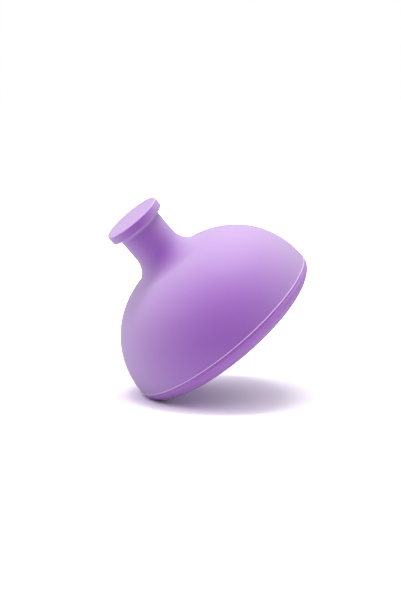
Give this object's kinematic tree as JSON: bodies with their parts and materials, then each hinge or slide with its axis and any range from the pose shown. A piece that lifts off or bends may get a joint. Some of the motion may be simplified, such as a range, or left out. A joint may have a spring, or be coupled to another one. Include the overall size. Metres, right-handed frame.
{
  "type": "silicone cupping cup",
  "caption": "Soft suction cup for massage: a squeezable dome on a curled-in lip, with a narrow neck closed by a flat disc stopper that is pulled out to let air back in.",
  "frame": {"origin": "centre of the cup's footprint, on the surface that it stands on mouth down", "axes": "+Z along the cup's axis, from the mouth up to the disc; the cup is round about it"},
  "size_m": [0.065, 0.065, 0.0492],
  "materials": {
    "silicone_bell": "satin matte, soft lilac silicone",
    "silicone_lip": "satin matte, soft lilac silicone",
    "silicone_stopper": "satin matte, soft lilac silicone",
    "bush_plastic": "matte, pale translucent grey-lilac"
  },
  "bodies": {
    "cup": {"bell": "silicone_bell", "lip_ring": "silicone_lip"},
    "neck": {"neck_bush": "bush_plastic"},
    "stopper": {"vent_stopper": "silicone_stopper"}
  },
  "joints": [
    {"name": "dome_squeeze", "type": "slide", "parent": "cup", "child": "neck", "axis": [0, 0, 1], "range_m": [-0.01, 0], "stiffness_N_per_m": 2500, "deforming": ["bell"]},
    {"name": "stopper_pull", "type": "slide", "parent": "neck", "child": "stopper", "axis": [0, 0, 1], "range_m": [0, 0.014]}
  ]
}
